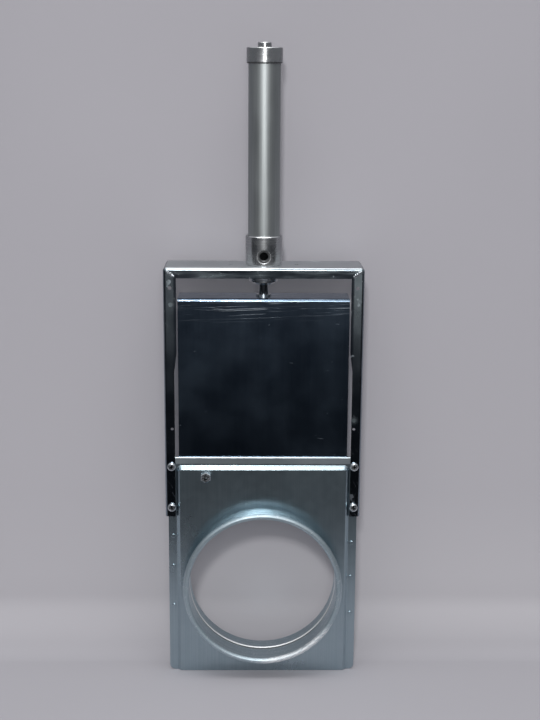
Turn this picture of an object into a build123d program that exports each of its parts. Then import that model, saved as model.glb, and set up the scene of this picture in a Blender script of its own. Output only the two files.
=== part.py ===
from build123d import *
import os
from math import radians, sqrt, tan

os.makedirs("parts", exist_ok=True)

# Pneumatic slide gate for a lipped round duct, modelled with the gate open.
# X runs across the gate, Y along the duct from front to back, Z up along the cylinder.
# The origin is the centre of the duct opening on the middle plane of the blade.

# Duct collars
bore_radius = 79.5
collar_wall = 1.2
front_collar_reach = 29.0
rear_collar_reach = 20.5
curl_radius = 3.1
curl_opening = 1.0
collar_flange = 5.8
collar_fit = 0.1

# Blade
blade_thickness = 2.0
blade_overlap = 3.5
blade_side_margin = 10.4
blade_corner = 3.0
blade_flange_depth = 37.0
blade_bend_radius = 3.0
blade_face_clearance = 0.5
blade_top_gap = 5.3

# Gate body of two sheet plates
plate_thickness = 1.5
pocket_side_clearance = 2.7
side_flange = 8.9
bottom_margin = 23.7
pocket_foot = 5.3
top_margin = 62.1
strip_height = 9.5
field_raise = 3.5
joggle_angle = 45.0
rear_joggle_angle = 32.0
joggle_bend = 1.4
field_corner = 6.0
plate_corner = 6.0
top_edge_round = 1.2
slot_edge_round = 1.2

# Slide liner behind the raised field
liner_edge_clearance = 0.4
liner_blade_clearance = 0.4
liner_hole_clearance = 0.4
liner_seat_clearance = 0.1
liner_corner = 4.0

# Rivets along the side flanges, set by hand and not in line
rivet_radius = 1.6
rivet_fit = 0.05
rivet_head_radius = 2.3
rivet_head_height = 0.9
rivet_head_round = 0.6
rivet_inset = 5.0
left_rivet_heights = (52.9, 17.9, -27.7)
right_rivet_heights = (44.7, 5.2, -37.1)

# Earthing nut on the front plate
earth_nut_flats = 10.0
earth_nut_height = 6.0
earth_thread_radius = 2.5
earth_side_inset = 31.6
earth_drop = 20.4
nut_chamfer = 0.5

# Yoke
yoke_thickness = 2.0
yoke_side_clearance = 1.1
yoke_depth = 51.0
yoke_bend_radius = 3.0
yoke_corner_radius = 4.0
yoke_top_flange = 11.2
leg_flange = 13.6
leg_flange_low = 11.0
leg_step_rise = 94.0
leg_step_height = 20.0
leg_overlap = 66.0
leg_end_round = 8.0
leg_hole_inset = 7.0
leg_hole_radius = 2.0
leg_hole_drop = 21.3
leg_dot_radius = 1.5
leg_dot_rise = 31.6
leg_dot_inset = 8.2
bracket_hole_radius = 2.25
bracket_spacing = 69.0

# Screws through the legs
screw_radius = 2.5
screw_hole_clearance = 0.25
screw_thread_fit = 0.05
screw_head_radius = 4.5
screw_head_height = 3.0
screw_head_round = 1.6
screw_recess_length = 4.6
screw_recess_width = 1.1
screw_recess_depth = 1.6
screw_end = 1.0
screw_nut_flats = 8.0
screw_nut_height = 4.0
upper_screw_drop = 9.9
screw_pitch = 45.7

# Cylinder
rod_offset = 21.0
rod_radius = 5.0
barrel_bore_radius = 16.0
barrel_wall = 0.6
barrel_entry = 7.0
barrel_fit = 0.1
front_cap_radius = 19.2
front_cap_length = 30.9
rear_cap_radius = 18.5
rear_cap_length = 16.0
cap_chamfer = 0.8
boss_radius = 7.0
boss_height = 5.2
crimp_rise = 1.3
crimp_width = 0.7
crimp_depth = 0.5
nose_radius = 15.0
nose_reach = 18.5
nose_chamfer = 3.0
nose_taper = 6.0
nose_clearance = 0.3
nose_nut_flats = 38.0
nose_nut_height = 8.0
nose_nut_fit = 0.05
port_radius = 4.3
port_chamfer = 0.7
port_depth = 7.5
port_rise = 10.4
port_face_radius = 7.5
port_face_margin = 0.15
rear_port_depth = 10.0
passage_radius = 2.0
passage_offset = 12.0
bush_wall = 2.0
bush_length = 20.0
bush_fit = 0.04
rod_passage_clearance = 0.6
rod_seal_wall = 3.0
rod_seal_length = 6.0
seat_fit = 0.03
barrel_seal_section = 1.2
barrel_seal_height = 1.8
barrel_seal_rise = 1.0
seal_groove_clearance = 0.1
bumper_inner_radius = 6.2
bumper_outer_radius = 9.8
bumper_thickness = 2.2
bumper_clearance = 0.4

# Piston
piston_length = 17.8
piston_clearance = 0.3
piston_groove_depth = 2.4
piston_groove_width = 2.6
piston_seal_inset = 2.0
guide_ring_width = 5.0
guide_ring_depth = 1.5
ring_bore_clearance = 0.05
piston_nut_flats = 13.0
piston_nut_height = 4.0
piston_nut_clearance = 0.7

# Rod ends and the joint to the blade
rod_thread_radius = 4.0
rod_thread_clearance = 0.25
rod_thread_fit = 0.05
rod_chamfer = 0.8
rod_show = 11.0
rod_washer_radius = 8.0
rod_washer_thickness = 1.6
rod_nut_flats = 13.0
rod_nut_height = 6.5
rod_thread_end = 1.5

# Levels along Y, counted forward from the middle plane of the blade
seam = blade_thickness / 2 + blade_face_clearance
flange_face = seam + plate_thickness
field_back = seam + field_raise
field_face = field_back + plate_thickness
yoke_front = flange_face + yoke_thickness

# Widths across X
stroke = 2 * (bore_radius + blade_overlap)
blade_width = 2 * (bore_radius + blade_side_margin)
field_width = blade_width + 2 * pocket_side_clearance
body_width = field_width + 2 * side_flange
yoke_width = body_width + 2 * (yoke_side_clearance + yoke_thickness)
leg_hole_x = yoke_width / 2 - leg_hole_inset
rivet_x = body_width / 2 - rivet_inset

# Heights along Z
blade_bottom = bore_radius + blade_overlap
body_bottom = -bore_radius - bottom_margin
body_top = bore_radius + top_margin
pocket_bottom = body_bottom + pocket_foot
field_top = body_top - strip_height
blade_top = body_top + stroke + blade_top_gap
washer_top = blade_top + rod_washer_thickness
nose_end = washer_top + rod_show
yoke_under = nose_end + nose_reach
yoke_top = yoke_under + yoke_thickness
leg_end = body_top - leg_overlap
leg_step = body_top + leg_step_rise
upper_screw = body_top - upper_screw_drop
front_cap_top = yoke_top + front_cap_length
chamber_floor = front_cap_top - barrel_entry
barrel_length = stroke + piston_length + 2 * (bumper_thickness + bumper_clearance)
chamber_top = chamber_floor + barrel_length
rear_cap_bottom = chamber_top - barrel_entry
rear_cap_top = rear_cap_bottom + rear_cap_length
boss_top = rear_cap_top + boss_height
piston_top = chamber_top - bumper_thickness - bumper_clearance
piston_bottom = piston_top - piston_length

# Spots on the front, as X and Z
screw_heights = (upper_screw, upper_screw - screw_pitch)
screw_spots = [(side * leg_hole_x, height) for side in (-1, 1) for height in screw_heights]
rivet_spots = [(-rivet_x, height) for height in left_rivet_heights]
rivet_spots += [(rivet_x, height) for height in right_rivet_heights]
leg_hole_spots = [(side * leg_hole_x, yoke_top - leg_hole_drop) for side in (-1, 1)]
leg_dot_x = yoke_width / 2 - leg_dot_inset
leg_dot_spots = [(side * leg_dot_x, body_top + leg_dot_rise) for side in (-1, 1)]
earth_spot = (earth_side_inset - field_width / 2, body_top - earth_drop)

# Corner loss of a sheet folded through each joggle angle
joggle_skin = plate_thickness * tan(radians(joggle_angle / 2))
rear_joggle_skin = plate_thickness * tan(radians(rear_joggle_angle / 2))
joggle_run = field_raise * tan(radians(joggle_angle))


def front(depth):
    """Plane facing the front, at a depth counted forward from the middle of the blade."""
    return Plane.XZ.offset(depth)


def back(depth):
    """Plane facing the back, at a depth counted forward from the middle of the blade."""
    return Plane(origin=(0, -depth, 0), x_dir=(-1, 0, 0), z_dir=(0, 1, 0))


def level(height):
    """Horizontal plane on the cylinder's axis."""
    return Plane(origin=(0, rod_offset, height))


def flat_plate(toward):
    """Flat sheet that both plates start from, on one side of the seam, with its lower corners rounded."""
    with BuildPart() as made:
        with BuildSketch(front(seam)) as outline:
            with Locations((0, (body_top + body_bottom) / 2)):
                Rectangle(body_width, body_top - body_bottom)
            fillet(outline.vertices().group_by(Axis.Y)[0], plate_corner)
        extrude(amount=toward * plate_thickness)
    return made.part


def tapered_pan(facing, angle, near, far, closed_end, open_end, inset):
    """Pan between two depths, narrowing by the joggle at both sides and at its closed end."""
    run = abs(far - near) * tan(radians(angle))
    inward = 1 if open_end > closed_end else -1
    with BuildPart() as made:
        for depth, loss in ((near, inset), (far, inset + run)):
            shut = closed_end + inward * loss
            with BuildSketch(facing(depth)) as section:
                with Locations((0, (shut + open_end) / 2)):
                    Rectangle(field_width - 2 * loss, abs(open_end - shut))
                closed_corners = section.vertices().sort_by(Axis.Y, reverse=inward < 0)[:2]
                fillet(closed_corners, field_corner - loss)
        loft(ruled=True)
    return made.part


def joggle_edges(plate, face_y):
    """Edges of a plate's joggle that lie in one face, leaving out the plate's own outline."""
    on_face = plate.edges().filter_by_position(Axis.Y, face_y, face_y)
    inside = on_face.filter_by(lambda edge: abs((edge @ 0.5).X) < field_width / 2 + joggle_bend)
    return inside.filter_by_position(Axis.Z, body_bottom + joggle_bend, body_top - joggle_bend)


def ring(height, outer, inner, length):
    """Plain ring on the cylinder's axis, standing on a height."""
    with BuildPart() as made:
        with BuildSketch(level(height)):
            Circle(outer)
            Circle(inner, mode=Mode.SUBTRACT)
        extrude(amount=length)
    return made.part


def hex_nut(plane, spots, flats, height, hole):
    """Hexagon nuts standing on a plane, two flats of each facing sideways."""
    with BuildPart() as made:
        with BuildSketch(plane):
            with Locations(*spots):
                RegularPolygon(flats / 2, 6, major_radius=False, rotation=30)
        extrude(amount=height)
        outer_face = made.faces().filter_by(Plane(origin=(0, 0, 0), z_dir=plane.z_dir))
        chamfer(outer_face.edges(), nut_chamfer)
        with BuildSketch(plane):
            with Locations(*spots):
                Circle(hole)
        extrude(amount=height, mode=Mode.SUBTRACT)
    return made.part


def save(part, name):
    """Names a finished piece and writes it."""
    part.label = name
    export_step(part, f"parts/{name}.step")


# Front plate: side flanges and a top strip round a raised field, which runs out at the bottom
front_sheet = flat_plate(1)
front_field = tapered_pan(front, joggle_angle, flange_face, field_face, field_top, body_bottom, 0)
front_hollow = tapered_pan(
    front, joggle_angle, seam, field_back, field_top, body_bottom - flange_face, joggle_skin
)
with BuildPart() as front_plate:
    add(front_sheet)
    add(front_field)
    fillet(joggle_edges(front_plate, -field_face), joggle_bend)
    fillet(joggle_edges(front_plate, -flange_face), joggle_bend)
    top_edges = front_plate.edges().filter_by(Axis.X).group_by(Axis.Z)[-1]
    fillet(top_edges.sort_by(Axis.Y)[0], top_edge_round)
    add(front_hollow, mode=Mode.SUBTRACT)
    with BuildSketch(front(seam)):
        Circle(bore_radius + collar_wall + collar_fit)
        with Locations(*screw_spots):
            Circle(screw_radius + screw_hole_clearance)
        with Locations(*rivet_spots):
            Circle(rivet_radius + rivet_fit)
        with Locations(earth_spot):
            Circle(earth_thread_radius)
    extrude(amount=field_face - seam, mode=Mode.SUBTRACT)
save(front_plate.part, "front_plate")

# Rear plate: flat flanges round a pocket, open at the top, that the blade slides in
rear_sheet = flat_plate(-1)
rear_pocket = tapered_pan(
    back, rear_joggle_angle, seam - plate_thickness, -flange_face, pocket_bottom, body_top, 0
)
rear_hollow = tapered_pan(
    back, rear_joggle_angle, seam, -seam, pocket_bottom, body_top + flange_face, rear_joggle_skin
)
with BuildPart() as rear_plate:
    add(rear_sheet)
    add(rear_pocket)
    fillet(joggle_edges(rear_plate, flange_face), joggle_bend)
    add(rear_hollow, mode=Mode.SUBTRACT)
    with BuildSketch(front(seam)):
        Circle(bore_radius)
        with Locations(*screw_spots):
            Circle(screw_radius + screw_hole_clearance)
        with Locations(*rivet_spots):
            Circle(rivet_radius + rivet_fit)
    extrude(amount=-seam - flange_face, mode=Mode.SUBTRACT)
    bore_edges = rear_plate.edges().filter_by(GeomType.CIRCLE).group_by(SortBy.RADIUS)[-1]
    fillet(bore_edges.sort_by(Axis.Y)[0], slot_edge_round)
save(rear_plate.part, "rear_plate")


def curled_collar(facing, root, reach):
    """Spun collar: tube from its root to the curled lip, with a flange at the root."""
    curl_middle = reach - curl_radius
    flange_radius = bore_radius + collar_wall + collar_flange
    with BuildPart() as made:
        with BuildSketch(Plane.XY):
            with Locations((bore_radius + curl_radius, facing * curl_middle)):
                Circle(curl_radius)
                Circle(curl_radius - collar_wall, mode=Mode.SUBTRACT)
            slit_middle = bore_radius + collar_wall + curl_opening / 2
            with Locations((slit_middle, facing * (curl_middle - curl_radius))):
                Rectangle(curl_opening, 2 * (curl_radius - collar_wall), mode=Mode.SUBTRACT)
            with Locations((bore_radius + collar_wall / 2, facing * (root + curl_middle) / 2)):
                Rectangle(collar_wall, curl_middle - root)
            with Locations(((bore_radius + flange_radius) / 2, facing * (root + collar_wall / 2))):
                Rectangle(flange_radius - bore_radius, collar_wall)
        revolve(axis=Axis.Y)
    return made.part


# Front collar: its flange lies behind the raised field, its tube goes out through the hole
front_root = field_back - collar_wall
front_collar = curled_collar(-1, front_root, front_collar_reach)
save(front_collar, "front_collar")

# Rear collar: its flange lies on the back of the pocket
rear_collar = curled_collar(1, flange_face, rear_collar_reach)
save(rear_collar, "rear_collar")

# Guide liner: plastic sheet in the hollow of the raised field, with a seat for the collar's flange
liner_back = blade_thickness / 2 + liner_blade_clearance
liner_loss = joggle_skin + joggle_run + liner_edge_clearance
with BuildPart() as guide_liner:
    with BuildSketch(front(liner_back)):
        with Locations((0, (field_top + pocket_bottom) / 2)):
            RectangleRounded(
                field_width - 2 * liner_loss, field_top - pocket_bottom - 2 * liner_loss, liner_corner
            )
        Circle(bore_radius + liner_hole_clearance, mode=Mode.SUBTRACT)
    extrude(amount=field_back - liner_back)
    with BuildSketch(front(front_root - liner_seat_clearance)):
        Circle(bore_radius + collar_wall + collar_flange + liner_seat_clearance)
    extrude(amount=collar_wall + liner_seat_clearance, mode=Mode.SUBTRACT)
save(guide_liner.part, "guide_liner")

# Rivets: low round heads on the front, a shank through both flanges and a closing head behind
with BuildPart() as body_rivets:
    with BuildSketch(front(flange_face)):
        with Locations(*rivet_spots):
            Circle(rivet_head_radius)
    extrude(amount=rivet_head_height)
    fillet(body_rivets.faces().group_by(Axis.Y)[0].edges(), rivet_head_round)
    with BuildSketch(front(flange_face)):
        with Locations(*rivet_spots):
            Circle(rivet_radius)
    extrude(amount=-2 * plate_thickness)
    with BuildSketch(back(flange_face - 2 * plate_thickness)):
        with Locations(*[(-x, z) for x, z in rivet_spots]):
            Circle(rivet_head_radius)
    extrude(amount=rivet_head_height)
save(body_rivets.part, "body_rivets")

# Earthing nut, fixed to the raised field over a small hole
earth_nut = hex_nut(front(field_face), [earth_spot], earth_nut_flats, earth_nut_height, earth_thread_radius)
save(earth_nut, "earth_nut")

# Yoke: one folded strip of top plate and legs, with a flange turned inward along its front
leg_in_high = yoke_width / 2 - leg_flange
leg_in_low = yoke_width / 2 - leg_flange_low
window_top = yoke_top - yoke_top_flange
with BuildPart() as yoke:
    with BuildSketch(front(yoke_front)) as band:
        with Locations((0, (yoke_top + leg_end) / 2)):
            Rectangle(yoke_width, yoke_top - leg_end)
        fillet(band.vertices().group_by(Axis.Y)[-1], yoke_corner_radius)
        with Locations((0, (yoke_under + leg_end) / 2)):
            Rectangle(yoke_width - 2 * yoke_thickness, yoke_under - leg_end, mode=Mode.SUBTRACT)
    extrude(amount=-yoke_depth)
    with BuildSketch(front(yoke_front)) as flange:
        with Locations((0, (yoke_top + leg_end) / 2)):
            Rectangle(yoke_width, yoke_top - leg_end)
        fillet(flange.vertices().group_by(Axis.Y)[-1], yoke_corner_radius)
        with BuildLine():
            Polyline(
                (-leg_in_low, leg_end),
                (-leg_in_low, leg_step),
                (-leg_in_high, leg_step + leg_step_height),
                (-leg_in_high, window_top),
                (leg_in_high, window_top),
                (leg_in_high, leg_step + leg_step_height),
                (leg_in_low, leg_step),
                (leg_in_low, leg_end),
                close=True,
            )
        make_face(mode=Mode.SUBTRACT)
    extrude(amount=-yoke_thickness)
    front_edges = yoke.faces().sort_by(Axis.Y)[0].edges()
    folded = [
        edge
        for edge in front_edges
        if abs((edge @ 0.5).X) > yoke_width / 2 - yoke_corner_radius
        or (edge @ 0.5).Z > yoke_top - yoke_corner_radius
    ]
    fillet(folded, yoke_bend_radius)
    leg_ends = yoke.edges().filter_by(Axis.X).group_by(Axis.Y)[-1].group_by(Axis.Z)[0]
    fillet(leg_ends, leg_end_round)
    with BuildSketch(level(yoke_top)):
        Circle(nose_radius + nose_clearance)
        with GridLocations(bracket_spacing, 0, 2, 1):
            Circle(bracket_hole_radius)
    extrude(amount=-yoke_thickness, mode=Mode.SUBTRACT)
    with BuildSketch(front(yoke_front)):
        with Locations(*screw_spots):
            Circle(screw_radius + screw_hole_clearance)
        with Locations(*leg_hole_spots):
            Circle(leg_hole_radius)
        with Locations(*leg_dot_spots):
            Circle(leg_dot_radius)
    extrude(amount=-yoke_thickness, mode=Mode.SUBTRACT)
save(yoke.part, "yoke")

# Screws: pan heads with a cross recess on the legs' front flange
screw_length = yoke_thickness + 2 * plate_thickness + screw_nut_height + screw_end
with BuildPart() as frame_screws:
    with BuildSketch(front(yoke_front)):
        with Locations(*screw_spots):
            Circle(screw_head_radius)
    extrude(amount=screw_head_height)
    fillet(frame_screws.faces().group_by(Axis.Y)[0].edges(), screw_head_round)
    with BuildSketch(front(yoke_front + screw_head_height)):
        with Locations(*screw_spots):
            Rectangle(screw_recess_length, screw_recess_width)
            Rectangle(screw_recess_width, screw_recess_length)
    extrude(amount=-screw_recess_depth, mode=Mode.SUBTRACT)
    with BuildSketch(front(yoke_front)):
        with Locations(*screw_spots):
            Circle(screw_radius)
    extrude(amount=-screw_length)
save(frame_screws.part, "frame_screws")

# Nuts of those screws, behind the rear plate's flange
back_spots = [(-x, z) for x, z in screw_spots]
nut_hole = screw_radius + screw_thread_fit
frame_nuts = hex_nut(back(seam - plate_thickness), back_spots, screw_nut_flats, screw_nut_height, nut_hole)
save(frame_nuts, "frame_nuts")

# Front end cap: stands on the yoke, with a threaded nose below, a port in front and the barrel in its top
bush_radius = rod_radius + bush_fit + bush_wall
seal_radius = rod_radius + bush_fit + rod_seal_wall
barrel_radius = barrel_bore_radius + barrel_wall
groove_radius = barrel_radius + barrel_fit + barrel_seal_section
port_flat = sqrt(front_cap_radius**2 - port_face_radius**2) - port_face_margin
port_height = yoke_top + port_rise
bush_bottom = nose_end + rod_seal_length
with BuildPart() as front_end_cap:
    with BuildSketch(level(yoke_top)):
        Circle(front_cap_radius)
    extrude(amount=front_cap_length)
    chamfer(front_end_cap.faces().filter_by(Axis.Z).edges(), cap_chamfer)
    with BuildSketch(level(yoke_top)):
        Circle(nose_radius)
    extrude(amount=nose_end - yoke_top)
    nose_face = front_end_cap.faces().sort_by(Axis.Z)[0]
    chamfer(nose_face.edges(), nose_taper, nose_chamfer, reference=nose_face)
    with BuildSketch(level(chamber_floor)):
        Circle(barrel_radius + barrel_fit)
    extrude(amount=barrel_entry, mode=Mode.SUBTRACT)
    with BuildSketch(level(chamber_floor + barrel_seal_rise)):
        Circle(groove_radius)
    extrude(amount=barrel_seal_height + 2 * seal_groove_clearance, mode=Mode.SUBTRACT)
    with BuildSketch(level(nose_end)):
        Circle(seal_radius + seat_fit)
    extrude(amount=rod_seal_length, mode=Mode.SUBTRACT)
    with BuildSketch(level(bush_bottom)):
        Circle(bush_radius + seat_fit)
    extrude(amount=bush_length, mode=Mode.SUBTRACT)
    with BuildSketch(level(bush_bottom + bush_length)):
        Circle(rod_radius + rod_passage_clearance)
    extrude(amount=chamber_floor - bush_bottom - bush_length, mode=Mode.SUBTRACT)
    with BuildSketch(front(port_flat - rod_offset)):
        with Locations((0, port_height)):
            Circle(port_face_radius)
    extrude(amount=front_cap_radius, mode=Mode.SUBTRACT)
    with BuildSketch(front(port_flat - rod_offset)):
        with Locations((0, port_height)):
            Circle(port_radius)
    extrude(amount=-port_depth, mode=Mode.SUBTRACT)
    round_edges = front_end_cap.edges().filter_by(GeomType.CIRCLE)
    port_edges = round_edges.filter_by_position(Axis.Y, rod_offset - port_flat, rod_offset - port_flat)
    chamfer(port_edges.sort_by(SortBy.RADIUS)[0], port_chamfer)
    with BuildSketch(level(port_height)):
        with Locations((0, -passage_offset)):
            Circle(passage_radius)
    extrude(amount=chamber_floor - port_height, mode=Mode.SUBTRACT)
save(front_end_cap.part, "front_end_cap")

# Nut that clamps the nose under the yoke's top plate
nose_nut = hex_nut(
    Plane(origin=(0, rod_offset, yoke_under), z_dir=(0, 0, -1)),
    [(0, 0)],
    nose_nut_flats,
    nose_nut_height,
    nose_radius + nose_nut_fit,
)
save(nose_nut, "nose_nut")

# Rod bush and the wiper seal below it, pressed into the nose
rod_bush = ring(bush_bottom, bush_radius, rod_radius + bush_fit, bush_length)
save(rod_bush, "rod_bush")
rod_seal = ring(nose_end, seal_radius, rod_radius + bush_fit, rod_seal_length)
save(rod_seal, "rod_seal")

# Barrel: thin drawn tube that enters both caps
barrel = ring(chamber_floor, barrel_radius, barrel_bore_radius, barrel_length)
save(barrel, "barrel")

# Rear end cap: rolled over the barrel, with a boss and an axial port on top
rear_groove_top = chamber_top - barrel_seal_rise
with BuildPart() as rear_end_cap:
    with BuildSketch(level(rear_cap_bottom)):
        Circle(rear_cap_radius)
    extrude(amount=rear_cap_length)
    chamfer(rear_end_cap.faces().filter_by(Axis.Z).edges(), cap_chamfer)
    with BuildSketch(level(rear_cap_top)):
        Circle(boss_radius)
    extrude(amount=boss_height)
    chamfer(rear_end_cap.faces().sort_by(Axis.Z)[-1].edges(), cap_chamfer)
    with BuildSketch(level(rear_cap_bottom + crimp_rise)):
        Circle(rear_cap_radius)
        Circle(rear_cap_radius - crimp_depth, mode=Mode.SUBTRACT)
    extrude(amount=crimp_width, mode=Mode.SUBTRACT)
    with BuildSketch(level(chamber_top)):
        Circle(barrel_radius + barrel_fit)
    extrude(amount=-barrel_entry, mode=Mode.SUBTRACT)
    with BuildSketch(level(rear_groove_top)):
        Circle(groove_radius)
    extrude(amount=-barrel_seal_height - 2 * seal_groove_clearance, mode=Mode.SUBTRACT)
    with BuildSketch(level(boss_top)):
        Circle(port_radius)
    extrude(amount=-rear_port_depth, mode=Mode.SUBTRACT)
    with BuildSketch(level(boss_top - rear_port_depth)):
        Circle(passage_radius)
    extrude(amount=chamber_top - boss_top + rear_port_depth, mode=Mode.SUBTRACT)
save(rear_end_cap.part, "rear_end_cap")

# Sealing rings of the barrel, one in each cap
ring_inner = barrel_radius + seat_fit
ring_outer = groove_radius - seat_fit
front_ring_foot = chamber_floor + barrel_seal_rise + seal_groove_clearance
front_barrel_seal = ring(front_ring_foot, ring_outer, ring_inner, barrel_seal_height)
save(front_barrel_seal, "front_barrel_seal")
rear_ring_foot = rear_groove_top - seal_groove_clearance - barrel_seal_height
rear_barrel_seal = ring(rear_ring_foot, ring_outer, ring_inner, barrel_seal_height)
save(rear_barrel_seal, "rear_barrel_seal")

# Bumpers that the piston stops on at each end
front_bumper = ring(chamber_floor, bumper_outer_radius, bumper_inner_radius, bumper_thickness)
save(front_bumper, "front_bumper")
rear_bumper_foot = chamber_top - bumper_thickness
rear_bumper = ring(rear_bumper_foot, bumper_outer_radius, bumper_inner_radius, bumper_thickness)
save(rear_bumper, "rear_bumper")

# Piston: turned disc with two seal grooves, a guide ring groove and a recess for its nut
piston_radius = barrel_bore_radius - piston_clearance
groove_floor = piston_radius - piston_groove_depth
guide_floor = piston_radius - guide_ring_depth
nut_recess_radius = piston_nut_flats / sqrt(3) + piston_nut_clearance
low_seal_foot = piston_bottom + piston_seal_inset
high_seal_foot = piston_top - piston_seal_inset - piston_groove_width
guide_foot = (piston_top + piston_bottom - guide_ring_width) / 2
nut_seat = piston_top - piston_nut_height - piston_nut_clearance
with BuildPart() as piston:
    with BuildSketch(level(piston_bottom)):
        Circle(piston_radius)
    extrude(amount=piston_length)
    for foot, floor, width in (
        (low_seal_foot, groove_floor, piston_groove_width),
        (high_seal_foot, groove_floor, piston_groove_width),
        (guide_foot, guide_floor, guide_ring_width),
    ):
        with BuildSketch(level(foot)):
            Circle(piston_radius)
            Circle(floor, mode=Mode.SUBTRACT)
        extrude(amount=width, mode=Mode.SUBTRACT)
    with BuildSketch(level(piston_top)):
        Circle(nut_recess_radius)
    extrude(amount=nut_seat - piston_top, mode=Mode.SUBTRACT)
    with BuildSketch(level(piston_bottom)):
        Circle(rod_thread_radius + rod_thread_fit)
    extrude(amount=piston_length, mode=Mode.SUBTRACT)
save(piston.part, "piston")

# Two seals and a guide ring that run in the barrel
seal_height = piston_groove_width - 2 * seal_groove_clearance
slide_radius = barrel_bore_radius - ring_bore_clearance
with BuildPart() as piston_seals:
    for foot in (low_seal_foot, high_seal_foot):
        with BuildSketch(level(foot + seal_groove_clearance)):
            Circle(slide_radius)
            Circle(groove_floor + seat_fit, mode=Mode.SUBTRACT)
        extrude(amount=seal_height)
save(piston_seals.part, "piston_seals")
guide_height = guide_ring_width - 2 * seal_groove_clearance
guide_rise = guide_foot + seal_groove_clearance
piston_guide_ring = ring(guide_rise, slide_radius, guide_floor + seat_fit, guide_height)
save(piston_guide_ring, "piston_guide_ring")

# Piston rod: chromed bar with a thread at each end, one for the piston and one for the blade
rod_end = blade_top - blade_thickness - rod_nut_height - rod_thread_end
with BuildPart() as piston_rod:
    with BuildSketch(level(washer_top)):
        Circle(rod_radius)
    extrude(amount=piston_bottom - washer_top)
    with BuildSketch(level(rod_end)):
        Circle(rod_thread_radius)
    extrude(amount=washer_top - rod_end)
    with BuildSketch(level(piston_bottom)):
        Circle(rod_thread_radius)
    extrude(amount=nut_seat + piston_nut_height - piston_bottom)
    chamfer(piston_rod.faces().sort_by(Axis.Z)[0].edges(), rod_chamfer)
save(piston_rod.part, "piston_rod")

# Nut that holds the piston on its rod
piston_nut = hex_nut(
    level(nut_seat), [(0, 0)], piston_nut_flats, piston_nut_height, rod_thread_radius + rod_thread_fit
)
save(piston_nut, "piston_nut")

# Blade: flat sheet with its top folded to the back, where the rod is bolted
half_thickness = blade_thickness / 2
with BuildPart() as blade:
    with BuildSketch(Plane.YZ) as section:
        with BuildLine():
            Polyline(
                (-half_thickness, blade_bottom),
                (-half_thickness, blade_top),
                (blade_flange_depth - half_thickness, blade_top),
                (blade_flange_depth - half_thickness, blade_top - blade_thickness),
                (half_thickness, blade_top - blade_thickness),
                (half_thickness, blade_bottom),
                close=True,
            )
        make_face()
    extrude(amount=blade_width / 2, both=True)
    fold_edges = blade.edges().filter_by(Axis.X)
    outer_fold = fold_edges.group_by(Axis.Y)[0].sort_by(Axis.Z)[-1]
    fillet(outer_fold, blade_bend_radius)
    foot_edges = blade.edges().filter_by(Axis.Y).group_by(Axis.Z)[0]
    fillet(foot_edges, blade_corner)
    with BuildSketch(level(blade_top)):
        Circle(rod_thread_radius + rod_thread_clearance)
    extrude(amount=-blade_thickness, mode=Mode.SUBTRACT)
save(blade.part, "blade")

# Washer and nut that clamp the rod to the blade's flange
rod_hole = rod_thread_radius + rod_thread_clearance
rod_washer = ring(blade_top, rod_washer_radius, rod_hole, rod_washer_thickness)
save(rod_washer, "rod_washer")
rod_nut = hex_nut(
    Plane(origin=(0, rod_offset, blade_top - blade_thickness), z_dir=(0, 0, -1)),
    [(0, 0)],
    rod_nut_flats,
    rod_nut_height,
    rod_thread_radius + rod_thread_fit,
)
save(rod_nut, "rod_nut")
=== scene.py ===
import math

import bmesh
import bpy
from mathutils import Matrix, Vector


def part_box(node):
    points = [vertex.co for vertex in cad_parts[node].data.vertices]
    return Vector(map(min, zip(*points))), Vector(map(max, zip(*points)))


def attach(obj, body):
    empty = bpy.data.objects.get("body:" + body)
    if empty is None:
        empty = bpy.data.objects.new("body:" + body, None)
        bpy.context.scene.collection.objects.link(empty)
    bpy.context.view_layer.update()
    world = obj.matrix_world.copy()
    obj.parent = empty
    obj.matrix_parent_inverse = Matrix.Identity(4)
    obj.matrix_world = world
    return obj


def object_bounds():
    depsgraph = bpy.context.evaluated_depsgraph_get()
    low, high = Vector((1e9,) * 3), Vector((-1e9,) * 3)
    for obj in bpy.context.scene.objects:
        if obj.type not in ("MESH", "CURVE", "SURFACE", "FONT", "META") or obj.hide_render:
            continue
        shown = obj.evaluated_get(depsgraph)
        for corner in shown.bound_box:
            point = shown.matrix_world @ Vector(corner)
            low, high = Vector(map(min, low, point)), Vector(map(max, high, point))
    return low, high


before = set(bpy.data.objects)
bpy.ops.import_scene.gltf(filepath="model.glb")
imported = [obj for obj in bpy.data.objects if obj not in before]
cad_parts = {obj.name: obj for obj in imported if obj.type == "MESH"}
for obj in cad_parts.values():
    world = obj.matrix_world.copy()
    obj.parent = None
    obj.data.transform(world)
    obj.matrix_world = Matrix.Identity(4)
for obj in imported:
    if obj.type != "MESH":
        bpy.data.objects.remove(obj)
cad_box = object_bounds()

# Camera.
# It stands well back and a little above the cylinder, looking down at the duct's opening,
# with the long lens that the photograph was taken with.
MM = 0.001
camera_place = Vector((-14.4, -1328.1, 547.4)) * MM
yaw, pitch, roll = (math.radians(angle) for angle in (-0.919, 12.725, 0.356))
forward = Vector((-math.sin(yaw) * math.cos(pitch), math.cos(yaw) * math.cos(pitch), -math.sin(pitch)))
level_right = Vector((math.cos(yaw), math.sin(yaw), 0))
level_up = level_right.cross(forward)
right = math.cos(roll) * level_right + math.sin(roll) * level_up
up = math.cos(roll) * level_up - math.sin(roll) * level_right
film_width, focal_pixels, picture_height = 36, 1292.8, 720
lens = bpy.data.cameras.new("camera")
lens.sensor_width = film_width
lens.lens = film_width * focal_pixels / picture_height
camera = bpy.data.objects.new("camera", lens)
camera_turn = Matrix((right, up, -forward)).transposed().to_4x4()
camera.matrix_world = Matrix.Translation(camera_place) @ camera_turn
bpy.context.collection.objects.link(camera)
bpy.context.scene.camera = camera
bpy.context.scene.view_settings.view_transform = "Standard"


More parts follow.
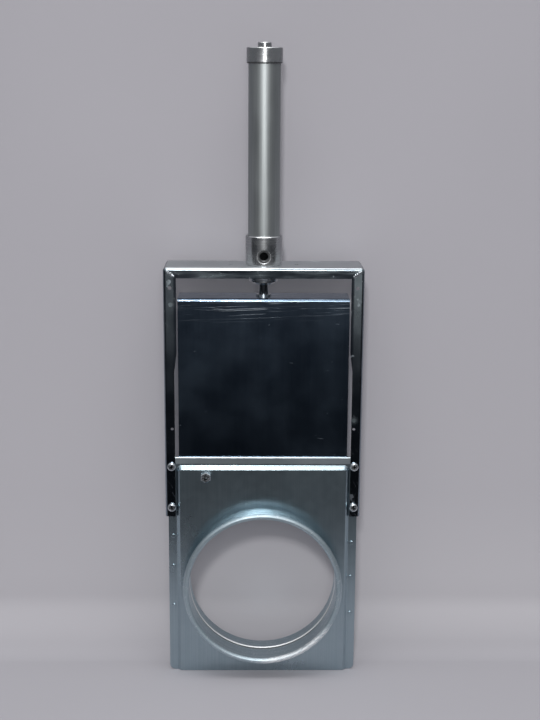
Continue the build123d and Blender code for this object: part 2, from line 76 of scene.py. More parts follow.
# Floor and backdrop.
# One pale paper sheet lies under the part and sweeps up into a wall far behind it. A second wall of the
# same paper stands close behind the part; only the camera sees it, so it takes no part in the light.
def linear(code):
    """A written colour, as the linear values that the shaders work in."""
    parts = [int(code[i : i + 2], 16) / 255 for i in (0, 2, 4)]
    return [p / 12.92 if p <= 0.04045 else ((p + 0.055) / 1.055) ** 2.4 for p in parts] + [1.0]


def feed(tree, node, inputs):
    """Sets a node's inputs, each to a value, a written colour, an output or a node's first output."""
    for socket, value in inputs.items():
        if isinstance(value, str):
            value = linear(value)
        if isinstance(value, bpy.types.Node):
            value = next(output for output in value.outputs if output.enabled)
        if isinstance(value, bpy.types.NodeSocket):
            tree.links.new(value, node.inputs[socket])
        else:
            node.inputs[socket].default_value = value


def add_node(tree, kind, inputs=None, **settings):
    """A new node with its settings and links."""
    made = tree.nodes.new(kind)
    for name, value in settings.items():
        setattr(made, name, value)
    feed(tree, made, inputs or {})
    return made


def new_material(name):
    """A node material, with its tree, its shader and the place on the piece in metres."""
    made = bpy.data.materials.new(name)
    made.use_nodes = True
    tree = made.node_tree
    place = add_node(tree, "ShaderNodeTexCoord").outputs["Object"]
    return made, tree, tree.nodes["Principled BSDF"], place


def new_piece(name, mesh, smooth=False):
    """An object in the scene made from a finished bmesh."""
    data = bpy.data.meshes.new(name)
    mesh.to_mesh(data)
    mesh.free()
    for face in data.polygons:
        face.use_smooth = smooth
    made = bpy.data.objects.new(name, data)
    bpy.context.collection.objects.link(made)
    return made


floor_height = cad_box[0].z - 0.4 * MM


def swept_sheet(name, front_edge, wall, radius, top, half_width):
    """Paper that lies on the floor from its front edge and sweeps up into an upright wall, in metres."""
    bend_steps = 24
    profile = [(front_edge, floor_height)]
    for step in range(bend_steps + 1):
        turn = math.radians(90 * step / bend_steps)
        profile.append(
            (wall - radius + radius * math.sin(turn), floor_height + radius * (1 - math.cos(turn)))
        )
    profile.append((wall, top))
    mesh = bmesh.new()
    rows = [[mesh.verts.new((x, y, z)) for x in (-half_width, half_width)] for y, z in profile]
    for low, high in zip(rows, rows[1:]):
        mesh.faces.new((low[0], low[1], high[1], high[0]))
    made = new_piece(name, mesh, smooth=True)
    return made


room_sheet = swept_sheet("room_sheet", front_edge=-5.0, wall=3.0, radius=1.0, top=3.2, half_width=5.0)
near_wall = swept_sheet("near_wall", front_edge=0.012, wall=0.07, radius=0.058, top=2.6, half_width=5.0)
for ray in ("diffuse", "glossy", "transmission", "shadow"):
    setattr(near_wall, "visible_" + ray, False)


def paper_colour(tree, place):
    """The paper's tone, which evens out the light: palest low on the wall, deeper towards its top."""
    toned_height, mottle_size = 0.9, 0.6
    height = add_node(
        tree,
        "ShaderNodeMapRange",
        {
            "Value": add_node(tree, "ShaderNodeSeparateXYZ", {"Vector": place}).outputs["Z"],
            "From Min": floor_height,
            "From Max": floor_height + toned_height,
        },
    )
    rise = add_node(tree, "ShaderNodeValToRGB", {"Fac": height})
    steps = rise.color_ramp.elements
    steps[0].color, steps[1].color = linear("aeacb1"), linear("939196")
    for share, code in (
        (0.01, "a09ea2"),
        (0.045, "c5c3c6"),
        (0.09, "c7c5c8"),
        (0.2, "bab8bc"),
        (0.54, "aaa8ad"),
    ):
        steps.new(share).color = linear(code)
    mottle = add_node(tree, "ShaderNodeTexNoise", {"Vector": place, "Scale": 1 / mottle_size, "Detail": 2})
    return add_node(tree, "ShaderNodeMix", {"Factor": mottle, "A": rise, "B": "b6b4b9"}, data_type="RGBA")


# Matt backdrop paper: pale and faintly cool, with a slight mottle that keeps it from looking flat.
# Towards the front it is in shade to what metal mirrors, as the dim end of a room would be.
paper, tree, shader, place = new_material("backdrop_paper")
shade_from, shade_to = -3.2, -0.2
ahead = add_node(
    tree,
    "ShaderNodeMapRange",
    {
        "Value": add_node(tree, "ShaderNodeSeparateXYZ", {"Vector": place}).outputs["Y"],
        "From Min": shade_from,
        "From Max": shade_to,
    },
)
shade = add_node(tree, "ShaderNodeValToRGB", {"Fac": ahead})
stops = shade.color_ramp.elements
stops[0].color, stops[1].color = linear("5c5e62"), linear("b6b4b9")
for reach, code in ((-2.0, "2c2e32"), (-1.1, "191b1e"), (-0.45, "131417")):
    stops.new((reach - shade_from) / (shade_to - shade_from)).color = linear(code)
mirrored = add_node(tree, "ShaderNodeLightPath").outputs["Is Glossy Ray"]
tone = add_node(
    tree,
    "ShaderNodeMix",
    {"Factor": mirrored, "A": paper_colour(tree, place), "B": shade},
    data_type="RGBA",
)
feed(tree, shader, {"Base Color": tone, "Roughness": 1, "Specular IOR Level": 0})
room_sheet.data.materials.append(paper)

# The near wall is the same paper seen from the front only, so that the part can be seen from behind.
wall_paper, tree, shader, place = new_material("backdrop_paper_one_sided")
feed(tree, shader, {"Base Color": paper_colour(tree, place), "Roughness": 1, "Specular IOR Level": 0})
behind = add_node(tree, "ShaderNodeNewGeometry").outputs["Backfacing"]
clear = add_node(tree, "ShaderNodeBsdfTransparent")
one_sided = add_node(tree, "ShaderNodeMixShader", {0: behind, 1: shader, 2: clear})
feed(tree, tree.nodes["Material Output"], {"Surface": one_sided})
near_wall.data.materials.append(wall_paper)

# Studio light.
# A wide soft lamp overhead lights every upward bend, a small one high in front throws the shadows, and a
# tall one behind the camera lights the fronts. The room is dim and paler above, and pale to the camera.
world = bpy.data.worlds.new("studio")
bpy.context.scene.world = world
world.use_nodes = True
tree = world.node_tree
direction = add_node(tree, "ShaderNodeTexCoord").outputs["Generated"]
above = add_node(
    tree,
    "ShaderNodeMapRange",
    {
        "Value": add_node(tree, "ShaderNodeSeparateXYZ", {"Vector": direction}).outputs["Z"],
        "From Min": 0.1,
        "From Max": 0.85,
    },
    interpolation_type="SMOOTHSTEP",
)
room = add_node(tree, "ShaderNodeMix", {"Factor": above, "A": "64666a", "B": "c4c5c9"}, data_type="RGBA")
to_camera = add_node(tree, "ShaderNodeLightPath").outputs["Is Camera Ray"]
seen = add_node(tree, "ShaderNodeMix", {"Factor": to_camera, "A": room, "B": "aaa8ad"}, data_type="RGBA")
feed(tree, tree.nodes["Background"], {"Color": seen, "Strength": 1})


def soft_lamp(name, place, target, width, depth, power):
    """A rectangular soft lamp aimed at a point, all in metres and watts."""
    light = bpy.data.lights.new(name, "AREA")
    light.shape = "RECTANGLE"
    light.size, light.size_y, light.energy = width, depth, power
    made = bpy.data.objects.new(name, light)
    made.location = place
    made.rotation_euler = (Vector(target) - Vector(place)).to_track_quat("-Z", "Y").to_euler()
    bpy.context.collection.objects.link(made)


soft_lamp("overhead_lamp", (0, -0.3, 1.9), target=(0, 0, 0.2), width=1.4, depth=0.8, power=12)
soft_lamp("key_lamp", (-0.17, -2.1, 1.3), target=(0, 0, 0.2), width=0.2, depth=0.2, power=17)
soft_lamp("front_lamp", (0.04, -2.3, 0.95), target=(0, 0, 0.3), width=0.5, depth=0.9, power=10)


# Body plates.
# Two pressed sheets of hot-dip galvanised steel are riveted face to face along both sides. The front one
# is stepped forward and the rear one back, which leaves the pocket that the blade slides in.
def pattern_scale(size):
    """The texture scale that makes a feature this many millimetres across."""
    return 1 / (size * MM)


# Most values of a noise lie in the first span, and all values of a zone in the second.
noise_span = (0.35, 0.65)
zone_span = (0, 1)


def tint(tree, tone, colour, pattern, span=noise_span, most=1):
    """Lays a colour over a tone, the more the higher a pattern stands in its span."""
    amount = add_node(
        tree,
        "ShaderNodeMapRange",
        {"Value": pattern, "From Min": span[0], "From Max": span[1], "To Max": most},
    )
    return add_node(tree, "ShaderNodeMix", {"Factor": amount, "A": tone, "B": colour}, data_type="RGBA")


def sheen(tree, pattern, smooth, dull, span=noise_span, worn=()):
    """Roughness that follows a pattern, and rises by the given amount where the surface is worn."""
    made = add_node(
        tree,
        "ShaderNodeMapRange",
        {"Value": pattern, "From Min": span[0], "From Max": span[1], "To Min": smooth, "To Max": dull},
    )
    for where, rise in worn:
        made = add_node(tree, "ShaderNodeMath", {0: where, 1: rise, 2: made}, operation="MULTIPLY_ADD")
    return made


def zone(tree, *limits):
    """1 inside all limits and 0 outside; a limit is a measure, and the mm it is out at and in at."""
    made = 1
    for measure, (out_at, in_at) in limits:
        fade = add_node(
            tree,
            "ShaderNodeMapRange",
            {"Value": measure, "From Min": out_at * MM, "From Max": in_at * MM},
        )
        made = add_node(tree, "ShaderNodeMath", {0: made, 1: fade}, operation="MULTIPLY")
    return made


def away_from(tree, place, spot, along):
    """The distance from a line that runs along X, Y or Z through a spot, in metres."""
    kept = [0 if axis == along else 1 for axis in "XYZ"]
    flat = add_node(tree, "ShaderNodeVectorMath", {0: place, 1: kept}, operation="MULTIPLY")
    middle = [size * keep for size, keep in zip(spot, kept)]
    return add_node(tree, "ShaderNodeVectorMath", {0: flat, 1: middle}, operation="DISTANCE")


def fine_lines(tree, place, width, length, along, turn=0):
    """Lines of this width and length in mm that run along X, Y or Z, turned about Y by some degrees."""
    scales = [pattern_scale(length if axis == along else width) for axis in "XYZ"]
    turns = (0, math.radians(turn), 0)
    rotated = add_node(tree, "ShaderNodeMapping", {"Vector": place, "Rotation": turns})
    scaled = add_node(tree, "ShaderNodeVectorMath", {0: rotated, 1: scales}, operation="MULTIPLY")
    return add_node(tree, "ShaderNodeTexNoise", {"Vector": scaled, "Scale": 1, "Detail": 2})


def dress(material, *names):
    """Puts a material on CAD pieces as they are."""
    for name in names:
        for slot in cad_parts[name].material_slots:
            slot.material = material


# Galvanised steel: a soft blue-grey, with faint rolling lines down the sheet and cloudy patches where the
# sheen is duller. The lines are drawn at 1.1 mm, coarser than real, so that they show.
galvanised, tree, shader, place = new_material("galvanised_steel")
grain = add_node(tree, "ShaderNodeTexNoise", {"Vector": place, "Scale": pattern_scale(9), "Detail": 1})
clouds = add_node(tree, "ShaderNodeTexNoise", {"Vector": place, "Scale": pattern_scale(110), "Detail": 1})
cloud_span = (0.25, 0.75)
rolling = fine_lines(tree, place, width=1.1, length=160, along="Z")
tone = tint(tree, "a2b3bb", "a6b7be", grain)
tone = tint(tree, tone, "95a8b1", clouds, cloud_span, most=0.5)
tone = tint(tree, tone, "c3ccd3", rolling, most=0.2)
# The flat strip along the top is painted paler than the field below it, as painted light, and is a little
# duller.
axes = add_node(tree, "ShaderNodeSeparateXYZ", {"Vector": place}).outputs
strip_foot = (133.5, 134.5)
strip = zone(tree, (axes["Z"], strip_foot))
tone = tint(tree, tone, "c6d1d6", strip, zone_span)
# The rounded edge of the rear plate's opening is painted near white and made rougher, a painted highlight.
duct_axis = (0, 0, 0)
edge_radius, edge_depth = (80.8, 80.6), (1.2, 1.4)
from_duct = away_from(tree, place, duct_axis, along="Y")
painted_highlight_edge = zone(tree, (from_duct, edge_radius), (axes["Y"], edge_depth))
tone = tint(tree, tone, "f2f5f6", painted_highlight_edge, zone_span)
fleck = add_node(
    tree,
    "ShaderNodeMapRange",
    {"Value": grain, "From Min": noise_span[0], "From Max": noise_span[1]},
)
worn = ((fleck, 0.012), (strip, 0.07), (painted_highlight_edge, 0.2))
bumps = add_node(tree, "ShaderNodeBump", {"Height": rolling, "Distance": 0.012 * MM})
feed(
    tree,
    shader,
    {
        "Base Color": tone,
        "Roughness": sheen(tree, clouds, smooth=0.244, dull=0.324, span=cloud_span, worn=worn),
        "Metallic": 1,
        "Normal": bumps,
    },
)
dress(galvanised, "front_plate", "rear_plate")

# Collars.
# A short spigot of drawn galvanised sheet is fixed in each plate's opening. Its mouth is curled outwards
# into a round lip, which stiffens the edge and takes the duct's clamp.
# Drawn galvanised steel: paler than the plates, with the tool's rings round it and scuffs from handling.
# The rings are drawn at 0.9 mm, coarser than real, so that they show.
collar_steel, tree, shader, place = new_material("drawn_galvanised_steel")
axes = add_node(tree, "ShaderNodeSeparateXYZ", {"Vector": place}).outputs
from_duct = away_from(tree, place, duct_axis, along="Y")
round_duct = add_node(tree, "ShaderNodeCombineXYZ", {"X": from_duct, "Y": axes["Y"]})
rings = add_node(
    tree, "ShaderNodeTexNoise", {"Vector": round_duct, "Scale": pattern_scale(0.9), "Detail": 3}
)
clouds = add_node(tree, "ShaderNodeTexNoise", {"Vector": place, "Scale": pattern_scale(28), "Detail": 4})
scuffs = fine_lines(tree, place, width=1.3, length=7, along="X", turn=35)
tone = tint(tree, "abbdc5", "c5d2d8", rings)
tone = tint(tree, tone, "a0b2bb", clouds, most=0.5)
tone = tint(tree, tone, "e6eaed", scuffs, (0.6, 0.72), most=0.8)
# Clamps have rubbed the front lip bright, low on the right.
low_right = (0.485, 0, -0.875)
lip_side, lip_front = (69, 76), (-24.5, -26)
toward = add_node(tree, "ShaderNodeVectorMath", {0: place, 1: low_right}, operation="DOT_PRODUCT")
rubs = add_node(
    tree,
    "ShaderNodeMapRange",
    {"Value": scuffs, "From Min": 0.4, "From Max": 0.55, "To Min": 0.35},
)
lip_zone = zone(tree, (toward, lip_side), (axes["Y"], lip_front))
worn_lip = add_node(tree, "ShaderNodeMath", {0: lip_zone, 1: rubs}, operation="MULTIPLY")
tone = tint(tree, tone, "f0f3f4", worn_lip, zone_span)
bumps = add_node(tree, "ShaderNodeBump", {"Height": rings, "Distance": 0.02 * MM})
feed(
    tree,
    shader,
    {
        "Base Color": tone,
        "Roughness": sheen(tree, clouds, smooth=0.43, dull=0.51, worn=((worn_lip, 0.2),)),
        "Metallic": 1,
        "Normal": bumps,
    },
)
dress(collar_steel, "front_collar", "rear_collar")


# Guide liner.
# A sheet of cut polyethylene fills the hollow of the front plate's raised field, with a hole for the duct,
# and the blade slides against its back.
def even_finish(name, size, detail, colours, roughness, metallic=0, bump_height=0):
    """A material whose tone and sheen both follow one pattern; its size and bumps are in mm."""
    made, tree, shader, place = new_material(name)
    pattern = add_node(
        tree,
        "ShaderNodeTexNoise",
        {"Vector": place, "Scale": pattern_scale(size), "Detail": detail},
    )
    looks = {
        "Base Color": tint(tree, *colours, pattern),
        "Roughness": sheen(tree, pattern, *roughness),
        "Metallic": metallic,
    }
    if bump_height:
        looks["Normal"] = add_node(
            tree, "ShaderNodeBump", {"Height": pattern, "Distance": bump_height * MM}
        )
    feed(tree, shader, looks)
    return made


# Polyethylene: a waxy grey, faintly cloudy.
polyethylene = even_finish(
    "polyethylene", size=9, detail=3, colours=("6d7072", "85898b"), roughness=(0.38, 0.5)
)
dress(polyethylene, "guide_liner")

# Rivets, earth nut, screws and their nuts.
# Small steel fasteners: six galvanised rivets close the body, a plated nut near the field's top takes an
# earthing lead, and four plated screws with nuts behind hold the yoke to the body.
# Zinc-plated steel: bright and pale, a little uneven.
plated, tree, shader, place = new_material("zinc_plated_steel")
clouds = add_node(tree, "ShaderNodeTexNoise", {"Vector": place, "Scale": pattern_scale(2.4), "Detail": 4})
tone = tint(tree, "c0c6ca", "e3e7ea", clouds)
# The screws' recesses and the nut's thread are painted near black, as painted shade. Left and right are
# marked alike.
depth = add_node(tree, "ShaderNodeSeparateXYZ", {"Vector": place}).outputs["Y"]
both_sides = add_node(tree, "ShaderNodeVectorMath", {0: place}, operation="ABSOLUTE")
screw_low, screw_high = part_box("frame_screws")
earth_low, earth_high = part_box("earth_nut")
earth_middle = (earth_low + earth_high) / 2
head_radius = 4.5 * MM
recess_face, earth_face = screw_low.y / MM + 0.3, earth_low.y / MM + 0.1
recess_radius, earth_hole_radius = 2.5, 2.6
side_fade, depth_fade = 0.05, 0.3
recess_shade = 0
for spot, radius, face in (
    ((screw_high.x - head_radius, 0, screw_high.z - head_radius), recess_radius, recess_face),
    ((screw_high.x - head_radius, 0, screw_low.z + head_radius), recess_radius, recess_face),
    ((-earth_middle.x, 0, earth_middle.z), earth_hole_radius, earth_face),
):
    away = away_from(tree, both_sides, spot, along="Y")
    hole = zone(tree, (away, (radius + side_fade, radius)), (depth, (face, face + depth_fade)))
    recess_shade = add_node(tree, "ShaderNodeMath", {0: recess_shade, 1: hole}, operation="MAXIMUM")
bumps = add_node(tree, "ShaderNodeBump", {"Height": clouds, "Distance": 0.03 * MM})
feed(
    tree,
    shader,
    {
        "Base Color": tint(tree, tone, "17181a", recess_shade, zone_span),
        "Roughness": sheen(tree, clouds, smooth=0.2, dull=0.34),
        "Metallic": 1,
        "Normal": bumps,
    },
)
dress(plated, "earth_nut", "frame_screws", "frame_nuts")
dress(galvanised, "body_rivets")

# Yoke.
# The frame that carries the cylinder is folded from zinc-coated sheet: a top plate with its front turned
# down, and two angle legs that reach down beside the body and are screwed to it.
# Bright zinc sheet: a dark mirror with a blue cast, scratched in handling and rubbed dull in patches.
yoke_steel, tree, shader, place = new_material("bright_zinc_sheet_rubbed")
clouds = add_node(tree, "ShaderNodeTexNoise", {"Vector": place, "Scale": pattern_scale(26), "Detail": 4})
patches = add_node(
    tree,
    "ShaderNodeTexNoise",
    {"Vector": place, "Scale": pattern_scale(17), "Detail": 5, "Roughness": 0.6},
)
rubbed = add_node(tree, "ShaderNodeMapRange", {"Value": patches, "From Min": 0.66, "From Max": 0.71})
scratches = fine_lines(tree, place, width=0.7, length=14, along="Z", turn=28)
scratched = add_node(
    tree,
    "ShaderNodeMapRange",
    {"Value": scratches, "From Min": 0.69, "From Max": 0.74, "To Max": 0.9},
)
tone = tint(tree, "848e98", "98a2ab", clouds)
tone = tint(tree, tone, "b7bfc6", rubbed, zone_span, most=0.7)
tone = tint(tree, tone, "e3e8ec", scratched, zone_span)
# The flats of the upper legs are paler and duller, the right one more than the left.
axes = add_node(tree, "ShaderNodeSeparateXYZ", {"Vector": place}).outputs
aside = add_node(tree, "ShaderNodeMath", {0: axes["X"]}, operation="ABSOLUTE")
inner_edge, outer_edge, upper_leg = (92.5, 94.5), (103.5, 101.5), (200, 310)
leg_zone = zone(tree, (aside, inner_edge), (aside, outer_edge), (axes["Z"], upper_leg))
leg_share = add_node(
    tree,
    "ShaderNodeMapRange",
    {"Value": axes["X"], "From Min": -50 * MM, "From Max": 50 * MM, "To Min": 0.43, "To Max": 0.688},
)
paled_and_painted_reflection = add_node(tree, "ShaderNodeMath", {0: leg_zone, 1: leg_share}, operation="MULTIPLY")
# Handling has streaked the turned-down front paler and duller. The top plate is painted paler all over, a
# painted reflection, and made duller.
streaks = fine_lines(tree, place, width=5, length=40, along="X")
streaked = add_node(
    tree,
    "ShaderNodeMapRange",
    {"Value": streaks, "From Min": noise_span[0], "From Max": noise_span[1], "To Max": 0.6},
)
front_foot, top_face = (333, 336), (344.8, 345.8)
front_zone = zone(tree, (axes["Z"], front_foot))
streaked_front = add_node(tree, "ShaderNodeMath", {0: front_zone, 1: streaked}, operation="MULTIPLY")
top_plate = zone(tree, (axes["Z"], top_face))
dulled_and_painted_reflection = [streaked_front, top_plate]
# Two spots on the legs are rubbed dull.
for spot in ((-97.0, 0, 307.0), (96.4, 0, 182.6)):
    away = away_from(tree, place, Vector(spot) * MM, along="Y")
    rub = add_node(
        tree,
        "ShaderNodeMapRange",
        {"Value": away, "From Min": 6 * MM, "From Max": 1 * MM, "To Max": 0.75},
    )
    dulled_and_painted_reflection.append(rub)
for where in dulled_and_painted_reflection:
    paled_and_painted_reflection = add_node(tree, "ShaderNodeMath", {0: paled_and_painted_reflection, 1: where}, operation="MAXIMUM")
# The zones above are laid paler here; the top plate's paler and near-white tones are a painted reflection.
tone = tint(tree, tone, "a7b3b6", paled_and_painted_reflection, zone_span)
tone = tint(tree, tone, "dde1e4", top_plate, zone_span)
bumps = add_node(tree, "ShaderNodeBump", {"Height": scratched, "Distance": 0.03 * MM})
feed(
    tree,
    shader,
    {
        "Base Color": tone,
        "Roughness": sheen(tree, clouds, smooth=0.08, dull=0.13, worn=((rubbed, 0.2), (paled_and_painted_reflection, 0.28))),
        "Metallic": 1,
        "Normal": bumps,
    },
)
dress(yoke_steel, "yoke")

# Corner welds.
# Where the turned-down front meets each leg, a short bead of weld runs across the mitre from the outer
# corner to the window's corner, laid as overlapping drops.
yoke_low, yoke_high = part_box("yoke")
outer_inset, outer_drop = 2.6 * MM, 3.0 * MM
inner_inset, inner_drop = 12.4 * MM, 10.2 * MM
bead_steps, bead_drops, bead_sides = 36, 5, 8
bead_half, drop_half = 1.1 * MM, 0.8 * MM
bead_rise, drop_rise = 0.25 * MM, 0.6 * MM
sunk = Vector((0, 0.02 * MM, 0))
outward = Vector((0, -1, 0))
bead = bmesh.new()
for side in (-1, 1):
    outer = Vector((side * (yoke_high.x - outer_inset), yoke_low.y, yoke_high.z - outer_drop))
    inner = Vector((side * (yoke_high.x - inner_inset), yoke_low.y, yoke_high.z - inner_drop))
    run = inner - outer
    across = Vector((run.z, 0, -run.x)).normalized()
    sections = []
    for step in range(bead_steps + 1):
        share = step / bead_steps
        drop = abs(math.sin(share * math.pi * bead_drops))
        ends = min(1, bead_drops * share, bead_drops * (1 - share))
        half, rise = (bead_half + drop_half * drop) * ends, (bead_rise + drop_rise * drop) * ends
        middle = outer + run * share + sunk
        angles = [math.pi * turn / bead_sides for turn in range(bead_sides + 1)]
        sections.append(
            [
                bead.verts.new(middle + across * half * math.cos(angle) + outward * rise * math.sin(angle))
                for angle in angles
            ]
        )
    for near, far in zip(sections, sections[1:]):
        for i in range(bead_sides):
            bead.faces.new((near[i], near[i + 1], far[i + 1], far[i]))
bmesh.ops.recalc_face_normals(bead, faces=bead.faces)
corner_welds = new_piece("corner_welds", bead, smooth=True)
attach(corner_welds, "housing")

# Weld metal: brighter and lumpier than the sheet beside it.
weld_metal = even_finish(
    "weld_metal",
    size=1.1,
    detail=3,
    colours=("a7afb5", "dfe4e7"),
    roughness=(0.2, 0.4),
    metallic=1,
    bump_height=0.25,
)
corner_welds.data.materials.append(weld_metal)

# Cylinder end caps.
# Both caps are turned from aluminium bar. The front one stands on the yoke, has an air port in its
# face and a threaded nose that passes through the top plate; the rear one has its port on top.
# Turned aluminium: pale and bright, with the lathe's rings. They are drawn at 0.5 mm, coarser than
# real, so that they show.
turned, tree, shader, place = new_material("turned_aluminium")
barrel_low, barrel_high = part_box("barrel")
cap_low, cap_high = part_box("front_end_cap")
axis_x = (cap_low.x + cap_high.x) / 2
axis_y = (barrel_low.y + barrel_high.y) / 2
axes = add_node(tree, "ShaderNodeSeparateXYZ", {"Vector": place}).outputs
from_axis = away_from(tree, place, (0, axis_y, 0), along="Z")
round_axis = add_node(tree, "ShaderNodeCombineXYZ", {"X": from_axis, "Z": axes["Z"]})
rings = add_node(
    tree, "ShaderNodeTexNoise", {"Vector": round_axis, "Scale": pattern_scale(0.5), "Detail": 2}
)
clouds = add_node(tree, "ShaderNodeTexNoise", {"Vector": place, "Scale": pattern_scale(14), "Detail": 3})
tone = tint(tree, "c2c4c6", "dfe1e2", rings)
# The spot face round the front port is painted dark, as painted shade in the recess, and a dark band at the
# joint under the rear cap is a painted shadow.
port_height = 356.4 * MM
from_port = away_from(tree, place, (0, 0, port_height), along="Y")
spot_radius, spot_depth = (7.0, 6.6), (12.0, 11.5)
spot_face_shade = zone(tree, (from_port, spot_radius), (axes["Y"], spot_depth))
tone = tint(tree, tone, "3d3f41", spot_face_shade, zone_span, most=0.8)
joint_foot, joint_top = (551.2, 551.4), (553.6, 553.0)
rear_joint_shadow = zone(tree, (axes["Z"], joint_foot), (axes["Z"], joint_top))
tone = tint(tree, tone, "2b2c2d", rear_joint_shadow, zone_span, most=0.85)
# The tapped ports are painted near black inside, as painted shade and the oil in them.
hole_radius, front_mouth, front_end, rear_end = (4.4, 4.3), (3.8, 4.6), (12.0, 11.5), (562, 563)
front_port = zone(tree, (from_port, hole_radius), (axes["Y"], front_mouth), (axes["Y"], front_end))
rear_port = zone(tree, (from_axis, hole_radius), (axes["Z"], rear_end))
port_shade = add_node(tree, "ShaderNodeMath", {0: front_port, 1: rear_port}, operation="MAXIMUM")
bumps = add_node(tree, "ShaderNodeBump", {"Height": rings, "Distance": 0.012 * MM})
feed(
    tree,
    shader,
    {
        "Base Color": tint(tree, tone, "1b1c1d", port_shade, zone_span),
        "Roughness": sheen(tree, clouds, smooth=0.2, dull=0.32),
        "Metallic": 1,
        "Normal": bumps,
    },
)
dress(turned, "front_end_cap", "rear_end_cap")


# Nose thread and port threads.
# The front cap's aluminium nose is threaded for the big nut that clamps the cylinder, and both air ports
# are tapped for fittings.
def screw_thread(name, body, material, start, axis, radius, height, pitch, length):
    """A ridge wound round an axis, in metres; a negative height makes an inside thread."""
    around = 48
    fade_steps = around / 3
    sunk_share, root_share, crest_share = 0.08, 0.42, 0.09
    side = axis.orthogonal().normalized()
    other = axis.cross(side)
    count = int(length / pitch * around)
    mesh = bmesh.new()
    sections = []
    for step in range(count + 1):
        angle = 2 * math.pi * step / around
        out = side * math.cos(angle) + other * math.sin(angle)
        middle = start + axis * (pitch * step / around)
        root = out * (radius - sunk_share * height)
        crest = out * (radius + height * min(1, step / fade_steps, (count - step) / fade_steps))
        profile = (
            (root, -root_share),
            (crest, -crest_share),
            (crest, crest_share),
            (root, root_share),
        )
        sections.append([mesh.verts.new(middle + reach + axis * share * pitch) for reach, share in profile])
    for near, far in zip(sections, sections[1:]):
        for i in range(3):
            mesh.faces.new((near[i], near[i + 1], far[i + 1], far[i]))
    bmesh.ops.recalc_face_normals(mesh, faces=mesh.faces)
    made = new_piece(name, mesh)
    made.data.materials.append(material)
    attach(made, body)


nose_nut_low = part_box("nose_nut")[0]
nose_start, nose_rest = 4.0 * MM, 1.0 * MM
screw_thread(
    "nose_thread",
    "housing",
    turned,
    start=Vector((axis_x, axis_y, cap_low.z + nose_start)),
    axis=Vector((0, 0, 1)),
    radius=15.0 * MM,
    height=0.35 * MM,
    pitch=1.5 * MM,
    length=nose_nut_low.z - cap_low.z - nose_start - nose_rest,
)
port_face = 4.6 * MM
rear_port_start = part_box("rear_end_cap")[1].z - 1.2 * MM
for name, start, axis, length in (
    ("front_port_thread", (axis_x, port_face, port_height), (0, 1, 0), 5.0 * MM),
    ("rear_port_thread", (axis_x, axis_y, rear_port_start), (0, 0, -1), 7.0 * MM),
):
    screw_thread(
        name,
        "housing",
        turned,
        start=Vector(start),
        axis=Vector(axis),
        radius=4.3 * MM,
        height=-0.35 * MM,
        pitch=0.9 * MM,
        length=length,
    )

# Nose nut.
# A thin hexagon nut of plated steel is screwed on to the nose under the top plate, and pulls the front
# cap down on to the yoke.
dress(plated, "nose_nut")

# Barrel.
# A drawn tube is swaged tight between the two caps and holds the air that moves the piston.
# Drawn stainless steel: satin, with fine lines along the tube that spread the highlight. The lines are
# drawn at 0.5 mm, coarser than real, so that they show.
drawn, tree, shader, place = new_material("drawn_stainless_steel")
lines = fine_lines(tree, place, width=0.5, length=120, along="Z")
clouds = add_node(tree, "ShaderNodeTexNoise", {"Vector": place, "Scale": pattern_scale(40), "Detail": 3})
bumps = add_node(tree, "ShaderNodeBump", {"Height": lines, "Distance": 0.012 * MM})
feed(
    tree,
    shader,
    {
        "Base Color": tint(tree, "adb2b3", "bfc4c4", lines),
        "Roughness": sheen(tree, clouds, smooth=0.42, dull=0.48),
        "Metallic": 1,
        "Normal": bumps,
    },
)
dress(drawn, "barrel")

# Bush, seals and bumpers.
# Inside the caps a pressed-in bronze bush guides the rod, moulded rubber rings seal the rod and the
# barrel, and rubber bumpers stop the piston at each end.
# Sintered bronze: dull gold, with open pores drawn at 0.8 mm, coarser than real, so that they show.
bronze = even_finish(
    "sintered_bronze",
    size=0.8,
    detail=3,
    colours=("8a6a3f", "b08d58"),
    roughness=(0.3, 0.45),
    metallic=1,
    bump_height=0.03,
)
dress(bronze, "rod_bush")

# Black nitrile rubber: near black and matt, with a faint grey bloom.
rubber = even_finish(
    "black_nitrile_rubber", size=1.6, detail=3, colours=("1c1c1d", "2c2c2d"), roughness=(0.5, 0.65)
)
dress(rubber, "rod_seal", "front_barrel_seal", "rear_barrel_seal")
dress(rubber, "front_bumper", "rear_bumper", "piston_seals")

# Piston rod.
# A ground steel rod with hard chrome on it carries the piston at its upper end, and is threaded where it
# passes through the blade's flange.
# Hard chrome: a near mirror, with faint polishing rings drawn at 0.6 mm, coarser than real.
chrome, tree, shader, place = new_material("hard_chrome")
polish = fine_lines(tree, place, width=6, length=0.6, along="Z")
feed(
    tree,
    shader,
    {
        "Base Color": tint(tree, "8e9296", "a3a7aa", polish),
        "Roughness": sheen(tree, polish, smooth=0.05, dull=0.11),
        "Metallic": 1,
    },
)
dress(chrome, "piston_rod")
rod_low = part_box("piston_rod")[0]
rod_nut_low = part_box("rod_nut")[0]
rod_start, rod_pitch = 0.6 * MM, 1.25 * MM
nut_gap = 0.1 * MM
screw_thread(
    "rod_thread",
    "gate",
    chrome,
    start=Vector((axis_x, axis_y, rod_low.z + rod_start)),
    axis=Vector((0, 0, 1)),
    radius=4.75 * MM,
    height=0.25 * MM,
    pitch=rod_pitch,
    length=rod_nut_low.z - rod_low.z - nut_gap + rod_pitch,
)

# Piston.
# The piston is turned from aluminium, with a plastic guide ring round it and a plated nut that holds it
# on the rod's end.
dress(turned, "piston")
dress(plated, "piston_nut")
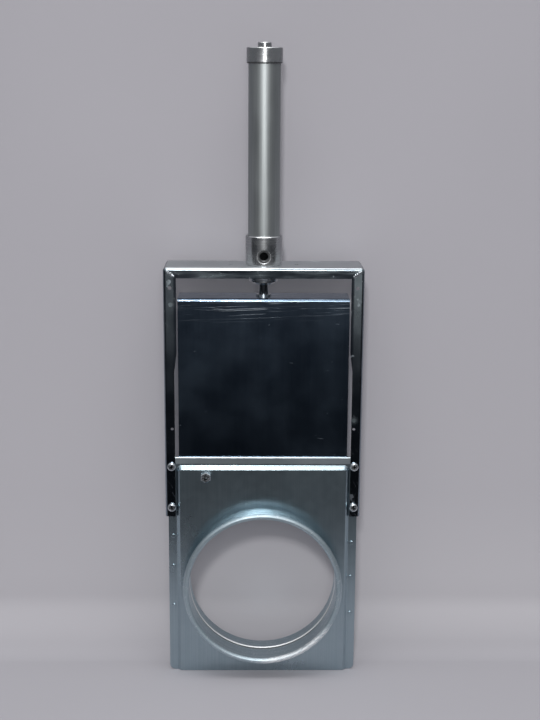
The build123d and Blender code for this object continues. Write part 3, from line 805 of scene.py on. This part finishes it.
# Acetal: a smooth off-white plastic with a soft shine.
acetal = even_finish(
    "acetal", size=4, detail=2, colours=("d3d1c8", "e2e0d8"), roughness=(0.35, 0.45)
)
dress(acetal, "piston_guide_ring")

# Blade.
# A flat steel sheet slides between the plates to close the duct; its top is folded back into the flange
# that the rod is bolted to.
# Bright zinc sheet: a darker, smoother mirror than the plates, with fine sliding marks down it and
# stray scratches. They are drawn about 1 mm wide, coarser than real, so that they show.
blade_steel, tree, shader, place = new_material("bright_zinc_sheet")
clouds = add_node(tree, "ShaderNodeTexNoise", {"Vector": place, "Scale": pattern_scale(55), "Detail": 3})
slides = fine_lines(tree, place, width=1.4, length=200, along="Z")
height = add_node(tree, "ShaderNodeSeparateXYZ", {"Vector": place}).outputs["Z"]
top_edge = (286, 297)
near_top, everywhere = zone(tree, (height, top_edge)), 1
marks = 0
for width, length, turn, span, most, where in (
    (0.9, 30, -5, (0.75, 0.8), 0.7, everywhere),
    (0.8, 9, 20, (0.76, 0.82), 0.7, everywhere),
    (0.8, 60, 2, (0.6, 0.7), 0.6, near_top),
):
    scratch = add_node(
        tree,
        "ShaderNodeMapRange",
        {
            "Value": fine_lines(tree, place, width, length, "X", turn),
            "From Min": span[0],
            "From Max": span[1],
            "To Max": most,
        },
    )
    placed = add_node(tree, "ShaderNodeMath", {0: scratch, 1: where}, operation="MULTIPLY")
    marks = add_node(tree, "ShaderNodeMath", {0: marks, 1: placed}, operation="MAXIMUM")
tone = tint(tree, "6a7c90", "7e91a4", clouds)
tone = tint(tree, tone, "94a5b5", slides, most=0.3)
tone = tint(tree, tone, "e8edf0", marks, zone_span)
bumps = add_node(tree, "ShaderNodeBump", {"Height": marks, "Distance": 0.03 * MM})
feed(
    tree,
    shader,
    {
        "Base Color": tone,
        "Roughness": sheen(tree, clouds, smooth=0.14, dull=0.2, worn=((marks, 0.3),)),
        "Metallic": 1,
        "Normal": bumps,
    },
)
dress(blade_steel, "blade")

# Rod washer and nut.
# A plain washer above the flange and a nut below it, both of plated steel, fix the rod to the blade.
dress(plated, "rod_washer", "rod_nut")
